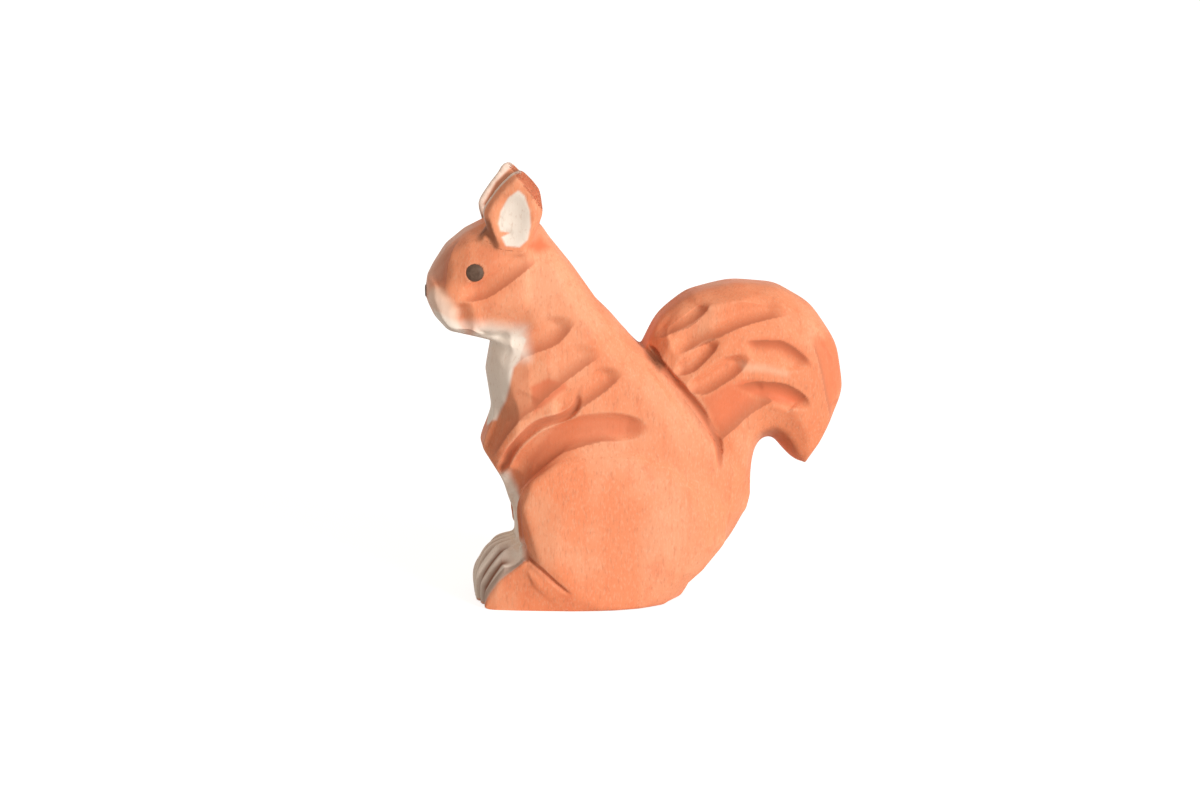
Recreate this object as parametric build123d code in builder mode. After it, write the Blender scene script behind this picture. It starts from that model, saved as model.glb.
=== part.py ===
from build123d import *

import os
from math import cos, degrees, radians, sin, sqrt
from typing import NamedTuple

# Carved wooden squirrel figurine, sitting up with its tail curled away from its back.
# It faces -X, stands on the XY plane and is the same on both sides of the XZ plane.
# The body is carved from one block. The tail is a second block, glued to the sloping back
# on two hidden dowels. The ears are blades set in mortises, and the eyes and nose are pegs.

# Knife facets: how many flats go round each form and each tool edge, and how square the rings are
trunk_flats = 12
head_flats = 12
haunch_flats = 16
tail_flats = 12
gouge_flats = 12
instep_flats = 24
ear_hollow_flats = 6
ring_fullness = 2.9

# Haunches
haunch_width = 25.4
haunch_crown = 1.1
thigh_fullness = 3.0
knee_fullness = 2.0
rump_fullness = 1.4

# Hind feet: the instep is a barrel, round from the toes to the crest and crowned from side to side
foot_instep_x = -18.0
foot_instep_z = 1.0
foot_instep_radius = 9.6
foot_crown_radius = 24.0
foot_crest_x = -20.0
foot_notch_x = -13.4
foot_notch_z = 3.2
foot_heel_x = -11.5
foot_toe_width = 10.0
foot_ball_width = 16.8
foot_ball_setback = 1.8
foot_heel_width = 22.2
toe_groove_count = 7
toe_groove_pitch = 2.15
toe_groove_width = 0.7
toe_groove_depth = 0.7

# Glued tail joint: a flat face square to the sides of the figure
joint_top_x = 1.5
joint_top_z = 42.0
joint_bottom_x = 19.3
joint_bottom_z = 17.9
dowel_diameter = 4.0
dowel_length = 12.0
dowel_spacing = 11.0
dowel_rise = 1.0
dowel_clearance = 0.05
dowel_end_gap = 0.4

# Ears: tapered leaf-shaped blades, hollowed on the outside
ear_root_x = -20.9
ear_root_z = 60.0
ear_root_spread = 14.6
ear_root_width = 5.8
ear_width = 9.5
ear_bulge_height = 5.6
ear_shoulder_width = 6.2
ear_shoulder_height = 9.4
ear_height = 12.5
ear_tip_lean = 1.0
ear_thickness = 3.2
ear_edge_taper = 15.0
ear_tenon_depth = 4.0
ear_toe_angle = 7.0
ear_splay_angle = 5.0
ear_clearance = 0.08
ear_hollow_length = 16.0
ear_hollow_radius = 4.4
ear_hollow_depth = 1.2
ear_hollow_height = 4.6

# Eyes: flat-topped pegs
eye_x = -27.0
eye_z = 55.9
eye_diameter = 2.9
eye_flat = 1.6
eye_depth = 3.0
eye_proud = 0.3
eye_clearance = 0.05

# Nose: an oval peg in the tip of the muzzle
muzzle_x = -34.45
nose_z = 52.0
nose_width = 3.0
nose_height = 2.2
nose_depth = 3.0
nose_proud = 0.3
nose_chamfer = 0.2
nose_clearance = 0.05

# Tail
tail_back_x = 34.75

# Gouge strokes and knife cuts: the edges used, how far off the wood a stroke starts where it fades in,
# and how thick a chip the knife clears
gouge_radius = 3.0
cheek_gouge_radius = 2.2
veiner_radius = 1.0
fade = -0.05
chip_height = 4.0

# Groove along the glued seam: where it starts and fades out along the joint, and its depths
seam_start = -14.0
seam_end = 3.0
seam_start_depth = 0.6
seam_depth = 0.8
seam_radius = 1.3
seam_inset = 0.3


class Level(NamedTuple):
    # A level section of the trunk
    height: float
    front: float
    back: float
    width: float


class Slice(NamedTuple):
    # An upright section of the head, square to its length
    x: float
    bottom: float
    top: float
    width: float


class Dome(NamedTuple):
    # A section of the left haunch, parallel to the middle plane
    offset: float
    front: float
    back: float
    bottom: float
    top: float


class Fan(NamedTuple):
    # A section of the tail, from the inside of its curl to the outside
    inner_x: float
    inner_z: float
    outer_x: float
    outer_z: float
    width: float


class Stroke(NamedTuple):
    # A tool stroke in the side view: three points, its depth at each, and the radius of the edge
    points: tuple
    depths: tuple
    radius: float


class Flat(NamedTuple):
    # A flat knife cut: its middle in the side view, its depth there, the way it faces, and its size
    place: tuple
    depth: float
    facing: tuple
    size: float


trunk_levels = (
    Level(0.0, -19.0, 7.4, 18.8),
    Level(4.0, -19.6, 9.9, 20.2),
    Level(9.0, -19.6, 14.2, 20.8),
    Level(15.0, -20.4, 18.4, 21.0),
    Level(21.5, -23.2, 20.3, 21.0),
    Level(26.2, -25.3, 19.5, 21.0),
    Level(32.0, -23.8, 14.5, 20.6),
    Level(38.5, -24.8, 8.0, 20.0),
    Level(43.5, -23.9, 1.0, 18.8),
    Level(50.0, -23.0, -6.3, 17.6),
    Level(56.0, -22.0, -10.5, 16.0),
    Level(60.5, -21.5, -14.1, 12.0),
)

head_slices = (
    Slice(muzzle_x, 50.4, 54.4, 6.2),
    Slice(-33.3, 48.0, 56.5, 10.0),
    Slice(-31.2, 45.7, 59.6, 13.6),
    Slice(-28.0, 45.1, 62.1, 16.2),
    Slice(-24.0, 44.1, 64.0, 17.8),
    Slice(-19.0, 45.0, 64.3, 18.4),
    Slice(-15.6, 48.0, 62.7, 13.4),
    Slice(-12.6, 51.0, 58.2, 6.0),
)

haunch_domes = (
    Dome(5.0, -18.5, 14.0, -2.0, 26.0),
    Dome(9.2, -20.7, 14.0, -3.0, 28.0),
    Dome(haunch_width / 2 - haunch_crown, -20.0, 10.2, -1.5, 25.4),
    Dome(haunch_width / 2, -14.5, 3.5, 1.0, 19.5),
)

tail_fans = (
    Fan(joint_bottom_x, joint_bottom_z, joint_top_x, joint_top_z, 17.6),
    Fan(19.2, 21.5, 4.3, 46.4, 18.8),
    Fan(19.7, 25.0, 8.9, 51.1, 19.0),
    Fan(20.9, 26.4, 16.6, 52.9, 18.8),
    Fan(21.8, 26.8, 23.6, 52.5, 18.6),
    Fan(22.8, 26.6, 29.0, 49.2, 18.2),
    Fan(23.9, 25.6, 33.2, 42.2, 17.6),
    Fan(25.2, 24.2, tail_back_x, 35.2, 16.0),
    Fan(26.7, 23.0, 31.8, 27.8, 12.6),
    Fan(27.7, 22.3, 28.6, 22.9, 8.6),
)

body_strokes = (
    # Cheek, corner of the mouth
    Stroke(((-18.2, 58.3), (-23.7, 54.2), (-29.3, 52.4)), (fade, 0.7, 0.3), cheek_gouge_radius),
    Stroke(((-28.9, 50.0), (-27.8, 48.0), (-26.6, 46.2)), (fade, 0.5, 0.4), cheek_gouge_radius),
    # Shoulder, upper arm, hollow between the arm and the haunch
    Stroke(((-20.9, 41.3), (-17.0, 44.4), (-11.7, 47.8)), (fade, 0.6, 0.5), gouge_radius),
    Stroke(((-19.6, 34.6), (-13.7, 35.8), (-4.2, 38.8)), (fade, 0.7, 0.5), gouge_radius),
    Stroke(((-21.6, 22.6), (-10.5, 29.4), (-0.5, 29.6)), (0.9, 0.9, 0.4), gouge_radius),
    # Elbow, forearm, notch over the foot
    Stroke(((-10.3, 36.5), (-11.6, 34.0), (-14.6, 31.7)), (fade, 0.8, 0.5), veiner_radius),
    Stroke(((-16.4, 31.0), (-20.1, 27.2), (-23.1, 23.8)), (fade, 0.9, 0.8), veiner_radius),
    Stroke(((foot_notch_x, foot_notch_z), (-16.4, 5.9), (-19.3, 8.6)), (fade, 1.0, 1.6), veiner_radius),
)

body_flats = (
    # Bridge of the nose, front of the haunch
    Flat((-31.2, 56.8), 0.5, (-0.8, -0.55, 0.2), 9.0),
    Flat((-18.9, 13.2), 0.7, (-0.85, -0.48, -0.22), 12.0),
)

tail_strokes = (
    # Along the top of the curl
    Stroke(((4.4, 44.8), (7.8, 47.2), (10.6, 49.6)), (fade, 0.6, 0.5), gouge_radius),
    Stroke(((20.6, 48.8), (15.1, 49.0), (11.1, 48.2)), (fade, 0.6, 0.4), gouge_radius),
    # Short scoops behind the seam
    Stroke(((13.1, 45.7), (9.5, 44.6), (5.7, 43.2)), (fade, 0.6, 0.4), gouge_radius),
    Stroke(((5.9, 39.0), (9.0, 41.1), (11.6, 43.2)), (fade, 0.6, 0.5), gouge_radius),
    Stroke(((7.7, 35.8), (12.5, 38.4), (16.5, 41.3)), (fade, 0.7, 0.6), gouge_radius),
    Stroke(((13.3, 29.1), (17.1, 31.4), (20.8, 33.9)), (fade, 0.6, 0.5), gouge_radius),
    # Long scoops down to the tip
    Stroke(((16.8, 42.5), (22.8, 42.5), (28.2, 39.8)), (fade, 0.6, 0.4), gouge_radius),
    Stroke(((16.2, 36.3), (22.1, 36.0), (27.0, 34.2)), (fade, 0.6, 0.5), gouge_radius),
)


def facet_ring(length, width, flats, quadrants=(ring_fullness,) * 4):
    # Corners of a ring that fills length by width, with a flat at each of its four ends
    step = 360 / flats
    corners = []
    for corner in range(flats):
        angle = radians(step * (corner + 0.5))
        power = 2 / quadrants[4 * corner // flats]
        reach = cos(radians(step / 2)) ** power
        across = abs(cos(angle)) ** power / reach * (1 if cos(angle) > 0 else -1)
        along = abs(sin(angle)) ** power / reach * (1 if sin(angle) > 0 else -1)
        corners.append((length / 2 * across, width / 2 * along))
    return corners


def left_side(solid, x, z):
    # The point of a solid's left side at a place in the side view, and the way its surface faces there
    hits = solid.find_intersection_points(Axis((x, 0, z), (0, 1, 0)))
    point, normal = min(hits, key=lambda hit: hit[0].Y)
    return point, normal if normal.Y < 0 else -normal


def gouge_pair(solid, stroke):
    # The wood that one stroke takes from the left side, with its mirror image on the right
    route = []
    for (x, z), depth in zip(stroke.points, stroke.depths):
        surface, _ = left_side(solid, x, z)
        route.append(surface + Vector(0, depth - stroke.radius, 0))
    path = ThreePointArc(*route)
    turn = (route[0] - path.arc_center).cross(route[-1] - path.arc_center)
    with BuildPart() as scoop:
        with BuildSketch(Plane(route[0], x_dir=(0, 1, 0), z_dir=path % 0)):
            RegularPolygon(stroke.radius, gouge_flats, major_radius=False, rotation=180 / gouge_flats)
        revolve(axis=Axis(path.arc_center, turn), revolution_arc=degrees(path.length / path.radius))
        mirror(about=Plane.XZ)
    return scoop.part


def knife_pair(solid, flat):
    # The wood over one knife cut on the left side, with its mirror image on the right
    surface, _ = left_side(solid, *flat.place)
    with BuildPart() as chip:
        with BuildSketch(Plane(surface + Vector(0, flat.depth, 0), z_dir=flat.facing)):
            Rectangle(flat.size, flat.size)
        extrude(amount=chip_height)
        mirror(about=Plane.XZ)
    return chip.part


# Joint frame: local X runs down the slope, local Z points from the body into the tail
joint_top = Vector(joint_top_x, 0, joint_top_z)
joint_bottom = Vector(joint_bottom_x, 0, joint_bottom_z)
joint_slope = (joint_bottom - joint_top).normalized()
joint_center = (joint_top + joint_bottom) / 2
joint_plane = Plane(joint_center, x_dir=joint_slope, z_dir=joint_slope.cross(Vector(0, 1, 0)))

# Trunk, from the base to the nape
with BuildPart() as trunk:
    for level in trunk_levels:
        with BuildSketch(Plane.XY.offset(level.height)):
            with Locations(((level.front + level.back) / 2, 0)):
                Polygon(*facet_ring(level.back - level.front, level.width, trunk_flats))
    loft(ruled=True)

# Head, from the muzzle to the nape
with BuildPart() as head:
    for cut in head_slices:
        with BuildSketch(Plane.YZ.offset(cut.x)):
            with Locations((0, (cut.top + cut.bottom) / 2)):
                Polygon(*facet_ring(cut.width, cut.top - cut.bottom, head_flats))
    loft(ruled=True)

# Left haunch, squarest at the top of the thigh and slackest under the rump
haunch_quadrants = (knee_fullness, thigh_fullness, knee_fullness, rump_fullness)
with BuildPart() as haunch:
    for dome in haunch_domes:
        with BuildSketch(Plane.XZ.offset(dome.offset)):
            length = dome.back - dome.front
            height = dome.top - dome.bottom
            with Locations((dome.front + length / 2, dome.bottom + height / 2)):
                Polygon(*facet_ring(length, height, haunch_flats, haunch_quadrants))
    loft(ruled=True)
    split(bisect_by=Plane.XY, keep=Keep.TOP)

# Hind feet, turned to the instep, sawn from above and behind the crest, with grooves between the toes
foot_front_x = foot_instep_x - foot_instep_radius
foot_ball_x = foot_front_x + foot_ball_setback
foot_crest_z = foot_instep_z + foot_instep_radius
foot_crown_z = foot_instep_radius - foot_crown_radius
instep_plane = Plane((foot_instep_x, 0, foot_instep_z), x_dir=(0, 1, 0), z_dir=(1, 0, 0))
with BuildPart() as feet:
    with BuildSketch(instep_plane):
        with Locations((0, foot_crown_z)):
            RegularPolygon(foot_crown_radius, instep_flats, major_radius=False, rotation=180 / instep_flats)
        with Locations((0, foot_instep_radius / 2)):
            Rectangle(foot_heel_width, foot_instep_radius, mode=Mode.INTERSECT)
    revolve(axis=Axis(instep_plane.origin, instep_plane.x_dir))
    with BuildSketch():
        with BuildLine():
            Polyline(
                (foot_front_x, -foot_toe_width / 2),
                (foot_ball_x, -foot_ball_width / 2),
                (foot_heel_x, -foot_heel_width / 2),
                (foot_heel_x, foot_heel_width / 2),
                (foot_ball_x, foot_ball_width / 2),
                (foot_front_x, foot_toe_width / 2),
                close=True,
            )
        make_face()
    extrude(amount=foot_crest_z, mode=Mode.INTERSECT)
    with BuildSketch(Plane.XZ):
        with BuildLine():
            Polyline(
                (foot_crest_x, foot_crest_z),
                (foot_notch_x, foot_notch_z),
                (foot_heel_x, foot_notch_z),
                (foot_heel_x, foot_crest_z),
                close=True,
            )
        make_face()
    extrude(amount=foot_heel_width, both=True, mode=Mode.SUBTRACT)
    for groove in range(toe_groove_count):
        groove_y = (groove - (toe_groove_count - 1) / 2) * toe_groove_pitch
        toe_radius = foot_crown_z + sqrt(foot_crown_radius**2 - groove_y**2)
        with BuildSketch(Plane.XZ.offset(groove_y)):
            with Locations((foot_instep_x, foot_instep_z)):
                RegularPolygon(toe_radius + toe_groove_depth, instep_flats)
                RegularPolygon(toe_radius - toe_groove_depth, instep_flats, mode=Mode.SUBTRACT)
        extrude(amount=toe_groove_width / 2, both=True, mode=Mode.SUBTRACT)

# Body before carving: trunk, head, haunches and feet are one block
with BuildPart() as body_blank:
    add(trunk.part)
    add(head.part)
    add(haunch.part)
    mirror(haunch.part, about=Plane.XZ)
    add(feet.part)
    split(bisect_by=joint_plane, keep=Keep.BOTTOM)

# Tail before carving: sections fan round the inside of the curl
with BuildPart() as tail_blank:
    for fan in tail_fans:
        inner = Vector(fan.inner_x, 0, fan.inner_z)
        outer = Vector(fan.outer_x, 0, fan.outer_z)
        spoke = (outer - inner).normalized()
        with BuildSketch(Plane((inner + outer) / 2, x_dir=spoke, z_dir=spoke.cross(Vector(0, 1, 0)))):
            Polygon(*facet_ring((outer - inner).length, fan.width, tail_flats))
    loft(ruled=True)

# Dowels across the joint
dowel_places = [(-dowel_rise - dowel_spacing / 2, 0), (-dowel_rise + dowel_spacing / 2, 0)]
with BuildPart() as tail_dowels:
    with BuildSketch(joint_plane):
        with Locations(*dowel_places):
            Circle(dowel_diameter / 2)
    extrude(amount=dowel_length / 2, both=True)

with BuildPart() as dowel_holes:
    with BuildSketch(joint_plane):
        with Locations(*dowel_places):
            Circle(dowel_diameter / 2 + dowel_clearance)
    extrude(amount=dowel_length / 2 + dowel_end_gap, both=True)

# Left ear frame: local X runs backward, local Y up the blade and local Z outward
ear_toe = radians(ear_toe_angle)
ear_plane = Plane(
    (ear_root_x, -ear_root_spread / 2, ear_root_z),
    x_dir=(cos(ear_toe), -sin(ear_toe), 0),
    z_dir=(-sin(ear_toe), -cos(ear_toe), 0),
).rotated((ear_splay_angle, 0, 0))


def ear_blade(clearance):
    # The left ear before it is hollowed, with its tenon, larger all round by a clearance
    root = ear_root_width / 2
    bulge = ear_width / 2
    shoulder = ear_shoulder_width / 2
    with BuildPart() as blade:
        with BuildSketch(ear_plane.offset(-ear_thickness / 2 - clearance)):
            with BuildLine():
                Polyline(
                    (-root, -ear_tenon_depth),
                    (-root, 0),
                    (-bulge, ear_bulge_height),
                    (ear_tip_lean - shoulder, ear_shoulder_height),
                    (ear_tip_lean, ear_height),
                    (ear_tip_lean + shoulder, ear_shoulder_height),
                    (bulge, ear_bulge_height),
                    (root, 0),
                    (root, -ear_tenon_depth),
                    close=True,
                )
            make_face()
            if clearance:
                offset(amount=clearance, kind=Kind.INTERSECTION)
        extrude(amount=ear_thickness + 2 * clearance, taper=ear_edge_taper)
    return blade.part


ear_blank = ear_blade(0)
ear_mortise = ear_blade(ear_clearance)

# Left ear, hollowed by a spindle whose axis stands off the outer face
spindle_plane = ear_plane.offset(ear_thickness / 2 + ear_hollow_radius - ear_hollow_depth)
spindle_plane = spindle_plane.shift_origin(spindle_plane.from_local_coords((0, ear_hollow_height, 0)))
hollow_side = ThreePointArc((0, -ear_hollow_length / 2), (ear_hollow_radius, 0), (0, ear_hollow_length / 2))
hollow_corners = [hollow_side @ (corner / ear_hollow_flats) for corner in range(ear_hollow_flats + 1)]
with BuildPart() as left_ear:
    add(ear_blank)
    with BuildSketch(spindle_plane):
        with BuildLine():
            Polyline(*hollow_corners, close=True)
        make_face()
    revolve(axis=Axis(spindle_plane.origin, spindle_plane.y_dir), mode=Mode.SUBTRACT)

with BuildPart() as right_ear:
    mirror(left_ear.part, about=Plane.XZ)

# Left eye, square to the face where it sits
face_point, face_normal = left_side(head.part, eye_x, eye_z)
eye_plane = Plane(face_point, z_dir=face_normal)
eye_profile = Plane(eye_plane.origin, x_dir=eye_plane.x_dir, z_dir=-eye_plane.y_dir)
eye_axis = Axis(eye_plane.origin, eye_plane.z_dir)
with BuildPart() as left_eye:
    with BuildSketch(eye_profile):
        with BuildLine():
            Polyline(
                (0, eye_proud),
                (eye_flat / 2, eye_proud),
                (eye_diameter / 2, 0),
                (eye_diameter / 2, -eye_depth),
                (0, -eye_depth),
                close=True,
            )
        make_face()
    revolve(axis=eye_axis)

with BuildPart() as right_eye:
    mirror(left_eye.part, about=Plane.XZ)

with BuildPart() as eye_seat:
    with BuildSketch(eye_plane.offset(-eye_depth)):
        Circle(eye_diameter / 2 + eye_clearance)
    extrude(amount=eye_depth + eye_proud)

# Nose
with BuildPart() as nose:
    with BuildSketch(Plane.YZ.offset(muzzle_x + nose_depth)):
        with Locations((0, nose_z)):
            Ellipse(nose_width / 2, nose_height / 2)
    extrude(amount=-nose_depth - nose_proud)
    chamfer(nose.edges().group_by(Axis.X)[0], nose_chamfer)

with BuildPart() as nose_seat:
    with BuildSketch(Plane.YZ.offset(muzzle_x + nose_depth)):
        with Locations((0, nose_z)):
            Ellipse(nose_width / 2 + nose_clearance, nose_height / 2 + nose_clearance)
    extrude(amount=-nose_depth - nose_proud)

# Groove along the glued seam, cut in both blocks
seam_runs = (seam_start, (seam_start + seam_end) / 2, seam_end)
seam_points = [joint_plane.from_local_coords((run, 0, -seam_inset)) for run in seam_runs]
seam_places = tuple((point.X, point.Z) for point in seam_points)
seam_stroke = Stroke(seam_places, (seam_start_depth, seam_depth, fade), seam_radius)
seam_scoop = gouge_pair(body_blank.part, seam_stroke)

# Carved body, with the seats of the pieces that are set into it
body_scoops = [gouge_pair(body_blank.part, stroke) for stroke in body_strokes]
body_chips = [knife_pair(body_blank.part, flat) for flat in body_flats]
with BuildPart() as body:
    add(body_blank.part)
    add(body_scoops, mode=Mode.SUBTRACT)
    add(body_chips, mode=Mode.SUBTRACT)
    add(seam_scoop, mode=Mode.SUBTRACT)
    add(eye_seat.part, mode=Mode.SUBTRACT)
    mirror(eye_seat.part, about=Plane.XZ, mode=Mode.SUBTRACT)
    add(nose_seat.part, mode=Mode.SUBTRACT)
    add(ear_mortise, mode=Mode.SUBTRACT)
    mirror(ear_mortise, about=Plane.XZ, mode=Mode.SUBTRACT)
    add(dowel_holes.part, mode=Mode.SUBTRACT)

# Carved tail
tail_scoops = [gouge_pair(tail_blank.part, stroke) for stroke in tail_strokes]
with BuildPart() as tail:
    add(tail_blank.part)
    add(tail_scoops, mode=Mode.SUBTRACT)
    add(seam_scoop, mode=Mode.SUBTRACT)
    add(dowel_holes.part, mode=Mode.SUBTRACT)

os.makedirs("parts", exist_ok=True)

body.part.label = "body"
export_step(body.part, "parts/body.step")

tail.part.label = "tail"
export_step(tail.part, "parts/tail.step")

tail_dowels.part.label = "tail_dowels"
export_step(tail_dowels.part, "parts/tail_dowels.step")

left_ear.part.label = "left_ear"
export_step(left_ear.part, "parts/left_ear.step")

right_ear.part.label = "right_ear"
export_step(right_ear.part, "parts/right_ear.step")

left_eye.part.label = "left_eye"
export_step(left_eye.part, "parts/left_eye.step")

right_eye.part.label = "right_eye"
export_step(right_eye.part, "parts/right_eye.step")

nose.part.label = "nose"
export_step(nose.part, "parts/nose.step")
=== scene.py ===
import math
import bmesh
import bpy
import numpy as np
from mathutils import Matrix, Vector


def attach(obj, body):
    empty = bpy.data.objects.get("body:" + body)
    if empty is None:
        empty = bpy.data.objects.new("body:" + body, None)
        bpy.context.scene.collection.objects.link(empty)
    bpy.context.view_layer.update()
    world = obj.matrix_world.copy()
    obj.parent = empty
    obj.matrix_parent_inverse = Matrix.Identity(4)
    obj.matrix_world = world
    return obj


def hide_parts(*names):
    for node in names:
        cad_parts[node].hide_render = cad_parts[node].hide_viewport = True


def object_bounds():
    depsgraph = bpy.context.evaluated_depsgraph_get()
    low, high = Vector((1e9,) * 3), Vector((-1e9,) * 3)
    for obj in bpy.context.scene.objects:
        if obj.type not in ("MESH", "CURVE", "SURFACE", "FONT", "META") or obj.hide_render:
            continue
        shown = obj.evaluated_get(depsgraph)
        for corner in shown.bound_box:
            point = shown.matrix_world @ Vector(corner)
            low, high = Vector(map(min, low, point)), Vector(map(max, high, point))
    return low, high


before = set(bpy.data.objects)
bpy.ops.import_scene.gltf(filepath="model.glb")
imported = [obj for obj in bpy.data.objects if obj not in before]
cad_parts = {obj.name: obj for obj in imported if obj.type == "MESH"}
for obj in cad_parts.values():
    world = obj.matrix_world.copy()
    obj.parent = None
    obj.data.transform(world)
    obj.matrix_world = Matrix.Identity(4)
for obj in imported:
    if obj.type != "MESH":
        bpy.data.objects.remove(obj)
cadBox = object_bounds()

mm = 0.001  # lengths in the dictionaries below are in millimetres, the scene is in metres
scene = bpy.context.scene
scene.view_settings.view_transform = "Standard"


# Meshes held as number arrays, in millimetres

def ramp(value, start, width):
    # from 0 at start smoothly to 1 at start + width, which lies below start if width is negative
    t = np.clip((value - start) / width, 0.0, 1.0)
    return t * t * (3.0 - 2.0 * t)


def readPoints(mesh):
    points = np.zeros(len(mesh.vertices) * 3)
    normals = np.zeros(len(mesh.vertices) * 3)
    mesh.vertices.foreach_get("co", points)
    mesh.vertices.foreach_get("normal", normals)
    return points.reshape(-1, 3) / mm, normals.reshape(-1, 3)


def writePoints(mesh, points):
    mesh.vertices.foreach_set("co", (points * mm).ravel())
    mesh.update()


def meshLinks(mesh):
    # every edge as a pair of point numbers, both ways round
    pairs = np.zeros(len(mesh.edges) * 2, dtype=np.int64)
    mesh.edges.foreach_get("vertices", pairs)
    first, second = pairs.reshape(-1, 2).T
    return np.concatenate([first, second]), np.concatenate([second, first])


def neighbourMean(links, values):
    here, there = links
    count = np.maximum(np.bincount(here, minlength=len(values)), 1)
    if values.ndim == 1:
        return np.bincount(here, values[there], len(values)) / count
    return np.stack([neighbourMean(links, column) for column in values.T], axis=1)


def easePoints(mesh, rounds, share):
    # edges eased as by sandpaper; share is how far each point moves in a round, 0 where it stays
    points, _ = readPoints(mesh)
    chosen = share > 0
    here, there = meshLinks(mesh)
    kept = chosen[here]
    spots, there = (np.cumsum(chosen) - 1)[here[kept]], there[kept]
    count = np.bincount(spots)[:, None]
    step = share[chosen][:, None]
    for _ in range(rounds):
        mean = np.stack([np.bincount(spots, column) for column in points[there].T], axis=1) / count
        points[chosen] += (mean - points[chosen]) * step
    writePoints(mesh, points)


def storeField(mesh, name, values):
    field = mesh.attributes.new(name, "FLOAT", "POINT")
    field.data.foreach_set("value", values.astype(np.float32))


def evenMesh(nodes, name, voxel):
    # one even grid of small faces over all the named pieces of the frame
    joined = bmesh.new()
    for node in nodes:
        joined.from_mesh(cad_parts[node].data)
    mesh = bpy.data.meshes.new(name)
    joined.to_mesh(mesh)
    joined.free()
    piece = bpy.data.objects.new(name, mesh)
    scene.collection.objects.link(piece)
    grid = piece.modifiers.new("grid", "REMESH")
    grid.mode = "VOXEL"
    grid.voxel_size = voxel * mm
    evaluated = piece.evaluated_get(bpy.context.evaluated_depsgraph_get())
    finished = bpy.data.meshes.new_from_object(evaluated)
    finished.name = name
    bpy.data.objects.remove(piece)
    bpy.data.meshes.remove(mesh)
    return finished


def softLine(points, steps=12):
    # a smooth line through given points of the side view
    knots = np.array([points[0], *points, points[-1]], dtype=float)
    line = []
    for start in range(1, len(knots) - 2):
        before, here, there, after = knots[start - 1:start + 3]
        for t in np.arange(steps) / steps:
            bend = 2 * here + (there - before) * t
            bend = bend + (2 * before - 5 * here + 4 * there - after) * t ** 2
            bend = bend + (3 * here - before - 3 * there + after) * t ** 3
            line.append(bend / 2)
    line.append(knots[-1])
    return np.array(line)


def alongLine(places, line):
    # how far each place is from the line, how far along it, and on which side: +1 is to the left
    start, run = line[:-1], np.diff(line, axis=0)
    length = np.linalg.norm(run, axis=1)
    reach = places[:, None, :] - start[None]
    share = np.clip((reach * run).sum(2) / length ** 2, 0.0, 1.0)
    offset = reach - share[:, :, None] * run
    distance = np.linalg.norm(offset, axis=2)
    nearest = distance.argmin(axis=1)
    rows = np.arange(len(places))
    travelled = np.concatenate([[0.0], np.cumsum(length)])
    along = (travelled[nearest] + share[rows, nearest] * length[nearest]) / travelled[-1]
    cross = run[nearest, 0] * offset[rows, nearest, 1] - run[nearest, 1] * offset[rows, nearest, 0]
    return distance[rows, nearest], along, np.where(cross >= 0, 1.0, -1.0)


def insideOutline(places, outline):
    # signed distance to a closed outline, positive inside
    closed = np.array([*outline, outline[0]], dtype=float)
    distance, _, _ = alongLine(places, closed)
    inside = np.zeros(len(places), dtype=bool)
    for (x0, z0), (x1, z1) in zip(closed[:-1], closed[1:]):
        crosses = (z0 > places[:, 1]) != (z1 > places[:, 1])
        level = x0 + (places[:, 1] - z0) * (x1 - x0) / (z1 - z0 if z1 != z0 else 1.0)
        inside ^= crosses & (places[:, 0] < level)
    return np.where(inside, distance, -distance)


def softInside(places, outline, soft):
    # 1 inside a closed outline and 0 outside, with a soft edge
    return ramp(insideOutline(places, outline), -soft / 2, soft)


# Shader helpers

def newMaterial(name):
    material = bpy.data.materials.new(name)
    material.use_nodes = True
    return material, material.node_tree


def setInputs(node, values):
    # each value is a number, a tuple or the output of another node
    for name, value in values.items():
        if isinstance(value, bpy.types.NodeSocket):
            node.id_data.links.new(value, node.inputs[name])
        else:
            node.inputs[name].default_value = value


def addNode(tree, kind, inputs=None, **settings):
    made = tree.nodes.new("ShaderNode" + kind)
    for name, value in settings.items():
        setattr(made, name, value)
    setInputs(made, inputs or {})
    return made


def noiseField(tree, scale, detail=2.0, roughness=0.5, distortion=0.0):
    # soft random field; scale is in waves per metre along x, y and z
    place = addNode(tree, "TexCoord").outputs["Object"]
    stretch = addNode(tree, "Mapping", {"Vector": place, "Scale": scale}).outputs["Vector"]
    inputs = {"Vector": stretch, "Scale": 1.0, "Detail": detail, "Roughness": roughness,
              "Distortion": distortion}
    return addNode(tree, "TexNoise", inputs).outputs["Fac"]


def levels(tree, value, low, high, toLow=0.0, toHigh=1.0):
    inputs = {"Value": value, "From Min": low, "From Max": high, "To Min": toLow, "To Max": toHigh}
    return addNode(tree, "MapRange", inputs, interpolation_type="SMOOTHSTEP").outputs["Result"]


def times(tree, value, factor):
    return addNode(tree, "Math", {0: value, 1: factor}, operation="MULTIPLY").outputs[0]


def blendColor(tree, share, first, second):
    # first where share is 0, second where it is 1; a colour is a tuple or the output of another node
    made = addNode(tree, "Mix", {"Factor": share}, data_type="RGBA")
    places = [place for place, socket in enumerate(made.inputs) if socket.type == "RGBA"]
    for place, color in zip(places, (first, second)):
        setInputs(made, {place: (*color, 1) if isinstance(color, tuple) else color})
    return next(socket for socket in made.outputs if socket.type == "RGBA")


def paintedField(tree, name):
    return addNode(tree, "Attribute", attribute_name=name, attribute_type="GEOMETRY").outputs["Fac"]


def relief(tree, height, strength, depth):
    inputs = {"Height": height, "Strength": strength, "Distance": depth * mm}
    return addNode(tree, "Bump", inputs).outputs["Normal"]


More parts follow.
